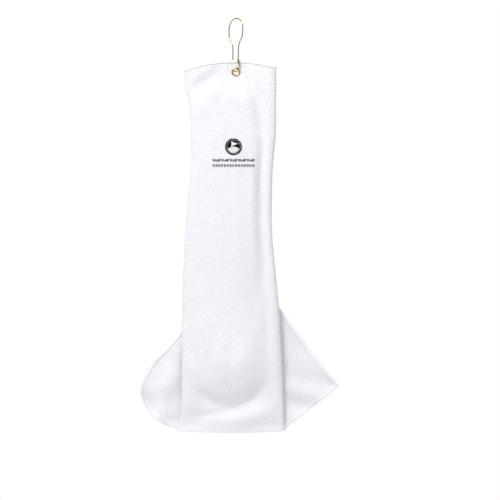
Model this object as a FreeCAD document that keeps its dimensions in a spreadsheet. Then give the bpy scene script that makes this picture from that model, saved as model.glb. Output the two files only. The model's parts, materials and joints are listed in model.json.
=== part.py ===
"""Tri-fold golf towel on a brass grommet and a sprung wire bulb hook.

The origin is where the bag's ring bears on the inside of the hook's bulb.  +Z is up and the front
of the towel faces -Y.  All sizes are in millimetres and the angles in degrees.
"""
import FreeCAD, Part
import math
import os
import Sketcher

SIZES = {
    # sprung wire hook
    "wire_diameter": 1.7,
    "hook_turn": 50.0,         # angle between the plane of the loop and the plane of the towel
    "bulb_width": 38.9,        # outside
    "bulb_flank": 6.0,         # straight stretch on each side of the bulb
    "neck_drop": 51.0,         # where the two legs become parallel
    "leg_clearance": 2.9,      # between the cloth's face and each leg
    "hook_drop": 90.3,         # from the ring's bearing point to the centre of the grommet
    "wire_lift": 0.4,          # the lowest bend of the wire runs this far above the grommet's centre
    "latch_gap": 0.3,
    "torsion_gap": 0.1,        # between the two halves of the wire at the top of the bulb
    "trough_length": 6.0,
    "trough_wall": 0.6,
    "trough_rise": 15.0,       # lower end of the trough above the grommet's centre
    # grommet
    "bore_radius": 4.4,
    "barrel_wall": 0.5,
    "flange_reach": 2.85,      # of the flange and the washer past the barrel
    "crown_inset": 1.85,       # of the flange's highest circle from its rim
    "flange_thickness": 0.75,
    "washer_thickness": 0.6,
    "lip_reach": 1.2,          # of the rolled lip past the barrel
    "lip_thickness": 0.4,
    "crown_round": 2.2,        # each round is the radius of an arc of the turned profiles
    "front_flare": 1.0,
    "front_flare_round": 1.45,
    "back_flare": 1.1,
    "back_flare_round": 1.2,
    "lip_inset": 0.8,
    "lip_round": 0.6,
    "rim_inset": 0.8,
    "rim_round": 1.1,
    "washer_play": 0.05,
    "grommet_gap": 0.3,        # play between the grommet and the cloth
    # cloth
    "cloth_thickness": 1.6,
    "layer_gap": 0.1,
    "seat_depth": 0.6,         # the grommet presses the cloth this much thinner on each face
    "arch_radius": 244.0,      # curve of the top edge
    "arch_offset": 3.0,        # its highest point lies this far left of the grommet
    "grommet_inset": 19.4,     # from the highest point of the top edge to the grommet's centre
    "top_left": 88.4,
    "top_right": 68.5,
    "shoulder_fall": 47.1,     # each fall is measured down from the top edge
    "shoulder_left": 84.0,
    "shoulder_right": 68.0,
    "grommet_bow": 0.3,        # the front panel is almost flat round the grommet
    "waist_fall": 169.1,
    "waist_left": 77.0,
    "waist_right": 62.0,
    "waist_bow": 24.0,
    "hip_fall": 329.1,
    "hip_left": 88.0,
    "hip_right": 66.0,
    "hip_bow": 18.0,
    "towel_length": 631.1,
    "foot_left": 92.0,
    "foot_right": 80.0,
    "foot_bow": 8.0,
    "left_fold_width": 113.0,
    "left_crease_depth": 0.0,  # of the fold's outer edge, below the waist
    "left_fold_depth": 4.0,    # of its inner edge
    "left_splay": 40.0,
    "left_corner_out": 74.0,   # how far the lower corner stands out from the crease
    "left_corner_depth": 44.0,
    "right_fold_width": 121.0,
    "right_crease_depth": 2.5,
    "right_fold_depth": 20.0,
    "right_splay": 37.0,
    "right_corner_out": 93.0,
    "right_corner_depth": 27.0,
    "fold_nose": 3.0,          # least width of cloth left at a fold
    "tip_step": 14.0,          # the turned-out part of a fold starts this far under the hip
    # stitching and embroidery
    "top_hem": 4.0,
    "bottom_hem": 8.0,
    "thread_width": 0.9,
    "thread_height": 0.4,
    "stitch_inset": 3.0,
    "emblem_fall": 147.4,
    "emblem_offset": 4.1,      # to the left of the grommet
    "emblem_radius": 13.8,
    "emblem_height": 0.8,
    "bar_width": 71.0,
    "bar_height": 4.4,
    "first_bar_fall": 170.1,
    "second_bar_fall": 179.1,
}

EVERYTHING = 900.0  # larger than the whole object, for sketches that cut all of one side away


def size(name):
    """The text of an expression that reads one size from the sheet."""
    return "Sizes." + name


def make_sheet(doc):
    """The spreadsheet that holds every driving size."""
    sheet = doc.addObject("Spreadsheet::Sheet", "Sizes")
    for row, (name, value) in enumerate(SIZES.items(), start=1):
        cell = "B%d" % row
        sheet.set("A%d" % row, name)
        sheet.set(cell, str(value))
        sheet.setAlias(cell, name)
    doc.recompute()
    return sheet


def new_body(doc, label):
    """An empty body whose label names its file."""
    body = doc.addObject("PartDesign::Body", label)
    body.Label = label
    return body


def new_sketch(body, plane, name, offset=None):
    """A sketch on one of the body's origin planes, moved along the plane's normal."""
    sketch = body.newObject("Sketcher::SketchObject", body.Name + "_" + name)
    origin_plane = [f for f in body.Origin.OriginFeatures if f.Role == plane][0]
    sketch.AttachmentSupport = [(origin_plane, "")]
    sketch.MapMode = "FlatFace"
    if offset is not None:
        sketch.setExpression("AttachmentOffset.Base.z", offset)
    return sketch


def fix_point(sketch, edge, end, x, y):
    """Tie one end of an edge to a place given by two expressions."""
    for kind, text in (("DistanceX", x), ("DistanceY", y)):
        value = float(sketch.evalExpression(text))
        index = sketch.addConstraint(Sketcher.Constraint(kind, -1, 1, edge, end, value))
        sketch.setExpression("Constraints[%d]" % index, text)


def chain(sketch, start, steps, closed=True):
    """Draw joined lines and arcs.

    start is a pair of expressions.  Each step is (x, y) for a line or (x, y, radius, turn) for an
    arc of less than half a circle, with turn 1 for anticlockwise and -1 for clockwise.
    """
    places = [start] + [step[:2] for step in steps]
    points = [
        FreeCAD.Vector(float(sketch.evalExpression(x)), float(sketch.evalExpression(y)), 0)
        for x, y in places
    ]
    count = len(steps)
    ends = []
    for number, step in enumerate(steps):
        first = points[number]
        last = points[0] if closed and number == count - 1 else points[number + 1]
        if len(step) == 2:
            edge = sketch.addGeometry(Part.LineSegment(first, last), False)
            ends.append((edge, 1, 2))
            continue
        radius = float(sketch.evalExpression(step[2]))
        turn = step[3]
        half = (last - first) * 0.5
        rise = math.sqrt(max(radius ** 2 - half.Length ** 2, 0.0))
        left = FreeCAD.Vector(-half.y, half.x, 0).normalize()
        centre = first + half + left * (rise * turn)
        circle = Part.Circle(centre, FreeCAD.Vector(0, 0, 1), radius)
        angles = [math.atan2(p.y - centre.y, p.x - centre.x) for p in (first, last)]
        if turn < 0:
            angles.reverse()
        edge = sketch.addGeometry(Part.ArcOfCircle(circle, angles[0], angles[1]), False)
        ends.append((edge, 1, 2) if turn > 0 else (edge, 2, 1))
        index = sketch.addConstraint(Sketcher.Constraint("Radius", edge, radius))
        sketch.setExpression("Constraints[%d]" % index, step[2])
    for number in range(1, count):
        before, after = ends[number - 1], ends[number]
        sketch.addConstraint(
            Sketcher.Constraint("Coincident", before[0], before[2], after[0], after[1])
        )
    if closed:
        sketch.addConstraint(
            Sketcher.Constraint("Coincident", ends[-1][0], ends[-1][2], ends[0][0], ends[0][1])
        )
    for (edge, first_end, _), place in zip(ends, places):
        fix_point(sketch, edge, first_end, place[0], place[1])
    if not closed:
        fix_point(sketch, ends[-1][0], ends[-1][2], places[-1][0], places[-1][1])
    return sketch


def rectangle(sketch, left, right, low, high):
    """A closed rectangle between four expressions."""
    return chain(sketch, (left, low), [(right, low), (right, high), (left, high), (left, low)])


def circle(sketch, x, y, radius):
    """A circle about a point given by expressions."""
    centre = FreeCAD.Vector(float(sketch.evalExpression(x)), float(sketch.evalExpression(y)), 0)
    value = float(sketch.evalExpression(radius))
    edge = sketch.addGeometry(Part.Circle(centre, FreeCAD.Vector(0, 0, 1), value), False)
    fix_point(sketch, edge, 3, x, y)
    index = sketch.addConstraint(Sketcher.Constraint("Radius", edge, value))
    sketch.setExpression("Constraints[%d]" % index, radius)
    return sketch


def loft(body, name, sections):
    """A ruled loft through closed sketches."""
    feature = body.newObject("PartDesign::AdditiveLoft", body.Name + "_" + name)
    feature.Profile = sections[0]
    feature.Sections = sections[1:]
    feature.Ruled = True
    body.Document.recompute()
    return feature


def cut(body, name, sketch, one_side=False, reverse=False):
    """Cut a sketch through everything and make sure that it took something away."""
    before = body.Shape.Volume
    feature = body.newObject("PartDesign::Pocket", body.Name + "_" + name)
    feature.Profile = sketch
    feature.Type = "ThroughAll"
    feature.SideType = "One side" if one_side else "Symmetric"
    feature.Reversed = reverse
    body.Document.recompute()
    if before - body.Shape.Volume < 0.01:
        raise RuntimeError("%s: the cut %s removes nothing" % (body.Label, name))
    return feature


# ---------------------------------------------------------------- the wire hook

WIRE = "(Sizes.wire_diameter / 2)"
BULB = "((Sizes.bulb_width - Sizes.wire_diameter) / 2)"
HALF_STACK = "(1.5 * Sizes.cloth_thickness + Sizes.layer_gap)"
LEG = "((%s + Sizes.leg_clearance + %s) / sin(Sizes.hook_turn))" % (HALF_STACK, WIRE)
FLANK_LOW = "(%s - %s - Sizes.bulb_flank)" % (WIRE, BULB)
NECK_FALL = "(%s + Sizes.neck_drop)" % FLANK_LOW
NECK_SHIFT = "(%s - %s)" % (BULB, LEG)
NECK_ANGLE = "(2 * atan(%s / %s))" % (NECK_SHIFT, NECK_FALL)
NECK_RADIUS = "(%s / (2 * sin(%s)))" % (NECK_FALL, NECK_ANGLE)
LATCH_OFFSET = "(Sizes.wire_diameter + Sizes.latch_gap)"
TROUGH_LOW = "(Sizes.trough_rise - Sizes.hook_drop)"
BEND_CENTRE = "(Sizes.wire_lift - Sizes.hook_drop + %s)" % LEG
HOOK_PLACE = (
    "create(<<placement>>; create(<<vector>>; 0; 0; 0);"
    " create(<<rotation>>; create(<<vector>>; 0; 0; 1); -Sizes.hook_turn))"
)


def half_bulb(side, start_x):
    """Start point and steps of one side of the bulb, from its top down to the neck."""
    turn = -side
    sign = "1" if side > 0 else "-1"
    middle = "(%s - %s / 2)" % (FLANK_LOW, NECK_FALL)
    start = (start_x, WIRE)
    steps = [
        ("%s * %s" % (sign, BULB), "%s - %s" % (WIRE, BULB), BULB, turn),
        ("%s * %s" % (sign, BULB), FLANK_LOW),
        ("%s * (%s + %s) / 2" % (sign, BULB, LEG), middle, NECK_RADIUS, turn),
        ("%s * %s" % (sign, LEG), "-Sizes.neck_drop", NECK_RADIUS, -turn),
    ]
    return start, steps


def wire(body, start_x, start, steps):
    """Sweep the round wire along a path, and check its volume."""
    path = chain(new_sketch(body, "XZ_Plane", "path"), start, steps, closed=False)
    section = circle(new_sketch(body, "YZ_Plane", "section", start_x), "0", WIRE, WIRE)
    body.Document.recompute()
    sweep = body.newObject("PartDesign::AdditivePipe", body.Name + "_sweep")
    sweep.Profile = section
    sweep.Spine = path
    sweep.Mode = "Frenet"
    body.Document.recompute()
    area = math.pi * float(body.evalExpression(WIRE)) ** 2
    if abs(sweep.Shape.Volume / (area * path.Shape.Length) - 1.0) > 0.01:
        raise RuntimeError("%s: the wire's volume doesn't fit its length" % body.Label)
    return sweep


def make_hook_wire(doc):
    """Rear half of the loop, the bend that carries the towel, and the trough of the latch."""
    body = new_body(doc, "hook_wire")
    body.setExpression("Placement", HOOK_PLACE)
    start, steps = half_bulb(-1, "0")
    low = "%s - %s" % (BEND_CENTRE, LEG)
    steps += [
        ("-1 * %s" % LEG, BEND_CENTRE),
        ("0", low, LEG, 1),
        (LEG, BEND_CENTRE, LEG, 1),
        (LEG, "%s + Sizes.trough_length * 0.6" % TROUGH_LOW),
    ]
    wire(body, "0", start, steps)
    trough = new_sketch(body, "XY_Plane", "trough", TROUGH_LOW)
    inner = "(%s + Sizes.latch_gap)" % WIRE
    outer = "(%s + Sizes.trough_wall)" % inner
    centre_y = "(-1 * %s)" % LATCH_OFFSET
    chain(
        trough,
        ("%s + %s" % (LEG, outer), centre_y),
        [
            (LEG, "%s + %s" % (centre_y, outer), outer, 1),
            ("%s - %s" % (LEG, outer), centre_y, outer, 1),
            ("%s - %s" % (LEG, inner), centre_y),
            (LEG, "%s + %s" % (centre_y, inner), inner, -1),
            ("%s + %s" % (LEG, inner), centre_y, inner, -1),
            ("%s + %s" % (LEG, outer), centre_y),
        ],
    )
    pad = body.newObject("PartDesign::Pad", "hook_wire_trough_pad")
    pad.Profile = trough
    pad.setExpression("Length", "Sizes.trough_length")
    doc.recompute()
    return body


def make_latch_leg(doc):
    """Front half of the loop, twisted out so that its straight end lies in the trough."""
    body = new_body(doc, "latch_leg")
    lean = "(-1 * asin(%s / (Sizes.hook_drop - Sizes.trough_rise)))" % LATCH_OFFSET
    body.setExpression(
        "Placement",
        HOOK_PLACE
        + " * create(<<placement>>; create(<<vector>>; 0; %s * sin(%s); %s * (1 - cos(%s)));"
        " create(<<rotation>>; create(<<vector>>; 1; 0; 0); %s))" % (WIRE, lean, WIRE, lean, lean),
    )
    start, steps = half_bulb(1, "0")
    steps.append((LEG, "%s - Sizes.wire_diameter" % TROUGH_LOW))
    wire(body, "0", start, steps)
    slot = new_sketch(body, "XZ_Plane", "torsion_gap")
    rectangle(slot, "-2 * Sizes.wire_diameter", "Sizes.torsion_gap", "-2 * Sizes.wire_diameter",
              "2 * Sizes.wire_diameter")
    cut(body, "torsion_gap_cut", slot)
    edges = body.Shape.Edges
    lowest = min(range(len(edges)), key=lambda number: edges[number].BoundBox.ZMax)
    before = body.Tip
    tip = body.newObject("PartDesign::Fillet", "latch_leg_tip")
    tip.Base = (before, ["Edge%d" % (lowest + 1)])
    tip.setExpression("Radius", "%s * 0.7" % WIRE)
    doc.recompute()
    return body


# ---------------------------------------------------------------- the grommet

SEAT = "(%s - Sizes.seat_depth)" % HALF_STACK
FLANGE_FACE = "(%s + Sizes.grommet_gap)" % SEAT
BARREL = "(Sizes.bore_radius + Sizes.barrel_wall)"
FLANGE = "(%s + Sizes.flange_reach)" % BARREL
LIP = "(%s + Sizes.lip_reach)" % BARREL
WASHER_BACK = "(%s + Sizes.washer_thickness)" % FLANGE_FACE
GROMMET_PLACE = (
    "create(<<placement>>; create(<<vector>>; 0; 0; -Sizes.hook_drop);"
    " create(<<rotation>>; create(<<vector>>; 0; 0; 1); 0))"
)


def ring(doc, label, start, steps):
    """A turned ring about the grommet's axis, which runs along Y."""
    body = new_body(doc, label)
    body.setExpression("Placement", GROMMET_PLACE)
    profile = chain(new_sketch(body, "YZ_Plane", "profile"), start, steps)
    doc.recompute()
    turned = body.newObject("PartDesign::Revolution", label + "_turned")
    turned.Profile = profile
    turned.ReferenceAxis = (profile, ["H_Axis"])
    turned.Angle = 360.0
    doc.recompute()
    return body


def make_grommet(doc):
    """The eyelet with its flange and barrel, and the washer that the barrel is rolled over."""
    crown = "(-1 * %s - Sizes.flange_thickness)" % FLANGE_FACE
    crown_radius = "(%s - Sizes.crown_inset)" % FLANGE
    lip_back = "(%s + Sizes.lip_thickness)" % WASHER_BACK
    eyelet = ring(
        doc,
        "grommet_eyelet",
        (crown, crown_radius),
        [
            ("-1 * %s" % FLANGE_FACE, FLANGE, "Sizes.crown_round", -1),
            ("-1 * %s" % FLANGE_FACE, BARREL),
            (WASHER_BACK, BARREL),
            (WASHER_BACK, LIP),
            (lip_back, "%s - Sizes.lip_inset" % LIP, "Sizes.lip_round", -1),
            ("%s - Sizes.back_flare" % lip_back, "Sizes.bore_radius", "Sizes.back_flare_round", -1),
            ("%s + Sizes.front_flare" % crown, "Sizes.bore_radius"),
            (crown, crown_radius, "Sizes.front_flare_round", -1),
        ],
    )
    inner = "(%s + Sizes.washer_play)" % BARREL
    washer = ring(
        doc,
        "grommet_washer",
        (FLANGE_FACE, inner),
        [
            (FLANGE_FACE, FLANGE),
            (WASHER_BACK, "%s - Sizes.rim_inset" % FLANGE, "Sizes.rim_round", -1),
            (WASHER_BACK, inner),
            (FLANGE_FACE, inner),
        ],
    )
    return [eyelet, washer]


# ---------------------------------------------------------------- the cloth

ARCH_CENTRE = "(Sizes.grommet_inset - Sizes.hook_drop - Sizes.arch_radius)"
FRONT_MIDDLE = "(-1 * (Sizes.cloth_thickness + Sizes.layer_gap))"
TOP_DROP = "(Sizes.hook_drop - Sizes.grommet_inset)"
DROPS = {
    "top": TOP_DROP,
    "shoulder": "(%s + Sizes.shoulder_fall)" % TOP_DROP,
    "waist": "(%s + Sizes.waist_fall)" % TOP_DROP,
    "hip": "(%s + Sizes.hip_fall)" % TOP_DROP,
    "foot": "(%s + Sizes.towel_length)" % TOP_DROP,
}
FRONT_STATIONS = [
    ("top", "Sizes.grommet_bow"),
    ("shoulder", "Sizes.grommet_bow"),
    ("waist", "Sizes.waist_bow"),
    ("hip", "Sizes.hip_bow"),
    ("foot", "Sizes.foot_bow"),
]


def bowed_sheet(body, back_gap, thickness):
    """The curved front panel, or a thinner sheet that lies on its face.

    back_gap is the distance from the panel's own back face to the sheet's back face.
    """
    sections = []
    for station, bow in FRONT_STATIONS:
        left = "(-1 * %s)" % size(station + "_left")
        right = size(station + "_right")
        half = "((%s - %s) / 2)" % (right, left)
        back = "(%s + Sizes.cloth_thickness / 2 + Sizes.grommet_bow - %s)" % (
            FRONT_MIDDLE, back_gap)
        front = "(%s - %s)" % (back, thickness)
        radius = "(((%s)^2 + (%s)^2) / (2 * %s))" % (half, bow, bow)
        sketch = new_sketch(body, "XY_Plane", station, "-1 * " + DROPS[station])
        chain(
            sketch,
            (left, front),
            [
                (right, front, radius, 1),
                (right, back),
                (left, back, radius, -1),
                (left, front),
            ],
        )
        sections.append(sketch)
    return loft(body, "sheet", sections)


def trim_top(body):
    """Cut the top edge to its arch."""
    sketch = new_sketch(body, "XZ_Plane", "arch")
    reach = "(0.7 * Sizes.arch_radius)"
    shoulder = "(%s + sqrt(Sizes.arch_radius^2 - %s^2))" % (ARCH_CENTRE, reach)
    left = "(-1 * Sizes.arch_offset - %s)" % reach
    right = "(%s - Sizes.arch_offset)" % reach
    chain(
        sketch,
        (left, shoulder),
        [
            (right, shoulder, "Sizes.arch_radius", -1),
            (right, "100"),
            (left, "100"),
            (left, shoulder),
        ],
    )
    return cut(body, "arch_cut", sketch)


def pierce(body):
    """The hole that the grommet's barrel passes through."""
    sketch = new_sketch(body, "XZ_Plane", "hole")
    circle(sketch, "0", "-Sizes.hook_drop", "%s + Sizes.grommet_gap" % BARREL)
    return cut(body, "hole_cut", sketch)


def press_seat(body, front):
    """Thin the outer face of the stack where the grommet's flange presses on it."""
    offset = SEAT if front else "(-1 * %s)" % SEAT
    sketch = new_sketch(body, "XZ_Plane", "seat", offset)
    circle(sketch, "0", "-Sizes.hook_drop", "%s + Sizes.grommet_gap" % FLANGE)
    return cut(body, "seat_cut", sketch, one_side=True, reverse=front)


def make_front_panel(doc):
    """Front third of the towel."""
    body = new_body(doc, "front_panel")
    bowed_sheet(body, "0", "Sizes.cloth_thickness")
    trim_top(body)
    pierce(body)
    press_seat(body, True)
    return body


def flat_section(body, name, drop, inner_x, inner_y, outer_x, outer_y):
    """A level section of a fold: a straight strip as thick as the cloth."""
    half = "Sizes.cloth_thickness / 2"
    sketch = new_sketch(body, "XY_Plane", name, "-1 * (%s)" % drop)
    chain(
        sketch,
        (inner_x, "%s - %s" % (inner_y, half)),
        [
            (outer_x, "%s - %s" % (outer_y, half)),
            (outer_x, "%s + %s" % (outer_y, half)),
            (inner_x, "%s + %s" % (inner_y, half)),
            (inner_x, "%s - %s" % (inner_y, half)),
        ],
    )
    return sketch


def make_fold(doc, side, layer, crease_depth):
    """One side third, folded behind the front panel, whose lower corner turns out again.

    side is "left" or "right", layer the depth of the fold's middle at the grommet, and
    crease_depth the depth of its outer edge below the waist.
    """
    sign = "-1" if side == "left" else "1"
    body = new_body(doc, side + "_fold")
    width = size(side + "_fold_width")
    depth = size(side + "_fold_depth")

    def edge(station):
        return size(station + "_" + side)

    def along(distance):
        return "(%s * (%s))" % (sign, distance)

    behind = []
    for station in ("top", "shoulder", "waist", "hip", "foot"):
        pressed = station in ("top", "shoulder")
        outer_y = layer if pressed else crease_depth
        inner_y = layer if pressed else depth
        inner = "%s - %s" % (edge(station), width)
        if station == "foot":
            inner = "%s - Sizes.fold_nose" % edge(station)
            inner_y = crease_depth
        behind.append(
            flat_section(body, station, DROPS[station], along(inner), inner_y,
                         along(edge(station)), outer_y)
        )
    loft(body, "behind", behind)

    fall = "(Sizes.towel_length - Sizes.hip_fall)"
    nose = "(%s - Sizes.fold_nose)" % edge("foot")
    hip_inner = "(%s - %s)" % (edge("hip"), width)

    def fold_line(share):
        place = "(%s + %s * (%s - %s))" % (nose, share, hip_inner, nose)
        deep = "(%s + %s * (%s - %s))" % (crease_depth, share, depth, crease_depth)
        return place, deep

    turned_out = []
    share = "(1 - Sizes.tip_step / %s)" % fall
    place, deep = fold_line(share)
    turned_out.append(
        flat_section(body, "tip", "%s + Sizes.tip_step" % DROPS["hip"], along(place), deep,
                     along("%s + 2 * Sizes.fold_nose" % place), "(%s + 0.5)" % deep)
    )
    rise = "(%s * sin(%s))" % (width, size(side + "_splay"))
    place, deep = fold_line("(%s / %s)" % (rise, fall))
    turned_out.append(
        flat_section(body, "corner", "%s - %s" % (DROPS["foot"], rise), along(place), deep,
                     along("%s + %s" % (edge("foot"), size(side + "_corner_out"))),
                     size(side + "_corner_depth"))
    )
    turned_out.append(
        flat_section(body, "heel", DROPS["foot"], along(nose), crease_depth,
                     along("%s + Sizes.fold_nose" % edge("foot")), "(%s + 0.5)" % crease_depth)
    )
    loft(body, "turned_out", turned_out)
    trim_top(body)
    pierce(body)
    if side == "right":
        press_seat(body, False)
    return body


# ---------------------------------------------------------------- stitching and embroidery


def applied(doc, label, height, wanted):
    """A thin sheet on the front panel's face, kept only inside the outlines of wanted."""
    body = new_body(doc, label)
    bowed_sheet(body, "Sizes.cloth_thickness", height)
    frame = new_sketch(body, "XZ_Plane", "frame")
    limit = str(EVERYTHING)
    rectangle(frame, "-" + limit, limit, "-" + limit, limit)
    wanted(frame)
    cut(body, "outline_cut", frame)
    return body


def top_stitching(frame):
    """A line of thread that follows the arch under the top hem."""
    outer = "(Sizes.arch_radius - Sizes.top_hem)"
    inner = "(%s - Sizes.thread_width)" % outer
    left = "(-1 * (Sizes.top_left - Sizes.stitch_inset))"
    right = "(Sizes.top_right - Sizes.stitch_inset)"

    def level(radius, x):
        return "(%s + sqrt(%s^2 - (%s + Sizes.arch_offset)^2))" % (ARCH_CENTRE, radius, x)

    chain(
        frame,
        (left, level(outer, left)),
        [
            (right, level(outer, right), outer, -1),
            (right, level(inner, right)),
            (left, level(inner, left), inner, 1),
            (left, level(outer, left)),
        ],
    )


def bottom_stitching(frame):
    """A straight line of thread along the bottom hem."""
    low = "(Sizes.bottom_hem - %s)" % DROPS["foot"]
    rectangle(
        frame,
        "-1 * (Sizes.foot_left - Sizes.stitch_inset)",
        "Sizes.foot_right - Sizes.stitch_inset",
        low,
        "%s + Sizes.thread_width" % low,
    )


def emblem_outline(frame):
    """The round embroidered patch."""
    middle = "(-1 * %s - Sizes.emblem_fall)" % TOP_DROP
    circle(frame, "-Sizes.emblem_offset", middle, "Sizes.emblem_radius")


def bar_outlines(frame):
    """Two plain embroidered bars under the patch."""
    half = "Sizes.bar_width / 2"
    for fall in ("Sizes.first_bar_fall", "Sizes.second_bar_fall"):
        middle = "(-1 * %s - %s)" % (TOP_DROP, fall)
        rectangle(
            frame,
            "-1 * %s - Sizes.emblem_offset" % half,
            "%s - Sizes.emblem_offset" % half,
            "%s - Sizes.bar_height / 2" % middle,
            "%s + Sizes.bar_height / 2" % middle,
        )


# ---------------------------------------------------------------- the whole part


def check(doc):
    """Stop if any object of the document failed."""
    for obj in doc.Objects:
        if "Invalid" in obj.State or "Error" in obj.State:
            raise RuntimeError("%s failed: %s" % (obj.Label, obj.State))


def main():
    doc = FreeCAD.newDocument("GolfTowel")
    make_sheet(doc)
    left_layer = "0"
    right_layer = "(Sizes.cloth_thickness + Sizes.layer_gap)"
    bodies = [make_hook_wire(doc), make_latch_leg(doc)]
    bodies += make_grommet(doc)
    bodies += [
        make_front_panel(doc),
        make_fold(doc, "left", left_layer, size("left_crease_depth")),
        make_fold(doc, "right", right_layer, size("right_crease_depth")),
        applied(doc, "top_hem_stitching", "Sizes.thread_height", top_stitching),
        applied(doc, "bottom_hem_stitching", "Sizes.thread_height", bottom_stitching),
        applied(doc, "emblem_patch", "Sizes.emblem_height", emblem_outline),
        applied(doc, "emblem_bars", "Sizes.emblem_height", bar_outlines),
    ]
    doc.recompute()
    check(doc)
    os.makedirs("parts", exist_ok=True)
    for body in bodies:
        shape = body.Shape
        if shape.isNull() or not shape.isValid():
            raise RuntimeError("%s has no valid shape" % body.Label)
        shape.exportStep("parts/%s.step" % body.Label)
        print("%-22s solids %d  volume %9.1f" % (body.Label, len(shape.Solids), shape.Volume))


main()
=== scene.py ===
"""A tri-fold terry golf towel hanging from a sprung brass bulb hook.

Everything is in metres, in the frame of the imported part: the origin is where the bag's ring bears
on the hook, +Z is up and the front of the towel faces -Y.
"""
import json
import logging
import math
from collections.abc import Callable
from dataclasses import dataclass, field
from enum import Enum

import bmesh
import bpy
import numpy as np
from mathutils import Matrix, Vector
from mathutils.bvhtree import BVHTree

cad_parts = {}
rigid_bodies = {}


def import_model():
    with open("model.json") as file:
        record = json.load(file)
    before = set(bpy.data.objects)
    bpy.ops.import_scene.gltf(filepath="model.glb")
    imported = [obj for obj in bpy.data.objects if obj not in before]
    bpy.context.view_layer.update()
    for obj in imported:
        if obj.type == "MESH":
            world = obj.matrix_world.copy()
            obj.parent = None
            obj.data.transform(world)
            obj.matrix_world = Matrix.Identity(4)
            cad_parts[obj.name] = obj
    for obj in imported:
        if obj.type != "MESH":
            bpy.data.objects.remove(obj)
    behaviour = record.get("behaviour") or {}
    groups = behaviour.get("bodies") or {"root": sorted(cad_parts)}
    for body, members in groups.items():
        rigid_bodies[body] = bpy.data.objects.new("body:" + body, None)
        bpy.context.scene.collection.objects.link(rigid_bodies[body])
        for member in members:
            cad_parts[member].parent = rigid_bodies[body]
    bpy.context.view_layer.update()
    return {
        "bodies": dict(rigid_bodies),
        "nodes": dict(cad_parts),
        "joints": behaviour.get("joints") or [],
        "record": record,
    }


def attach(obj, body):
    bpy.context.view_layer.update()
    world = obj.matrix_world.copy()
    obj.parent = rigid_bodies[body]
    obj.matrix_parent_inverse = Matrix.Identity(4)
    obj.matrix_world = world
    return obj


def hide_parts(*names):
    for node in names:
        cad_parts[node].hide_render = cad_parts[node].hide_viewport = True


LOG = logging.getLogger("golf_towel")
MM = 0.001
Places = list[tuple[float, float]]
Shape2D = Callable[[float, float], bool]


# ------------------------------------------------------------------ small helpers


def smooth(value: np.ndarray | float) -> np.ndarray | float:
    """Ease a share between 0 and 1, clipped at both ends."""
    clipped = np.clip(value, 0.0, 1.0)
    return clipped * clipped * (3.0 - 2.0 * clipped)


def curve_through(at: np.ndarray, places: Places) -> np.ndarray:
    """Evaluate a smooth curve through a few points.

    Args:
        at: where to evaluate it.
        places: (position, value) pairs in rising order of position.

    Returns:
        The values of a cubic curve with the slopes of its neighbouring points.
    """
    x = np.array([place[0] for place in places])
    y = np.array([place[1] for place in places])
    slope = np.gradient(y, x)
    at = np.clip(at, x[0], x[-1])
    i = np.clip(np.searchsorted(x, at, side="right") - 1, 0, len(x) - 2)
    span = x[i + 1] - x[i]
    t = (at - x[i]) / span
    return (
        (2 * t**3 - 3 * t**2 + 1) * y[i]
        + (t**3 - 2 * t**2 + t) * span * slope[i]
        + (3 * t**2 - 2 * t**3) * y[i + 1]
        + (t**3 - t**2) * span * slope[i + 1]
    )


def distance_to_path(s: np.ndarray, t: np.ndarray, path: Places) -> tuple[np.ndarray, np.ndarray]:
    """Distance from points to a path of straight runs.

    Args:
        s: places across.
        t: places down, on the same scale.
        path: the corners of the path.

    Returns:
        The distances, and the share of the path at which the nearest point of it lies.
    """
    best = np.full(np.shape(s), 1e9)
    along = np.zeros(np.shape(s))
    for number in range(len(path) - 1):
        (s0, t0), (s1, t1) = path[number], path[number + 1]
        ds, dt = s1 - s0, t1 - t0
        share = np.clip(((s - s0) * ds + (t - t0) * dt) / (ds * ds + dt * dt), 0.0, 1.0)
        gap = np.hypot(s - s0 - share * ds, t - t0 - share * dt)
        nearer = gap < best
        best = np.where(nearer, gap, best)
        along = np.where(nearer, (number + share) / (len(path) - 1), along)
    return best, along


def deselect() -> None:
    """Leave edit mode and deselect everything."""
    if bpy.context.object is not None and bpy.context.object.mode != "OBJECT":
        bpy.ops.object.mode_set(mode="OBJECT")
    bpy.ops.object.select_all(action="DESELECT")


def make_active(obj: bpy.types.Object) -> None:
    """Select one object alone and make it the active one.

    Args:
        obj: the object.
    """
    deselect()
    obj.select_set(True)
    bpy.context.view_layer.objects.active = obj


def apply_modifiers(obj: bpy.types.Object) -> None:
    """Apply every modifier of an object, in order.

    Args:
        obj: the object.
    """
    make_active(obj)
    for modifier in list(obj.modifiers):
        bpy.ops.object.modifier_apply(modifier=modifier.name)


# ------------------------------------------------------------------ finishes


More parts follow.
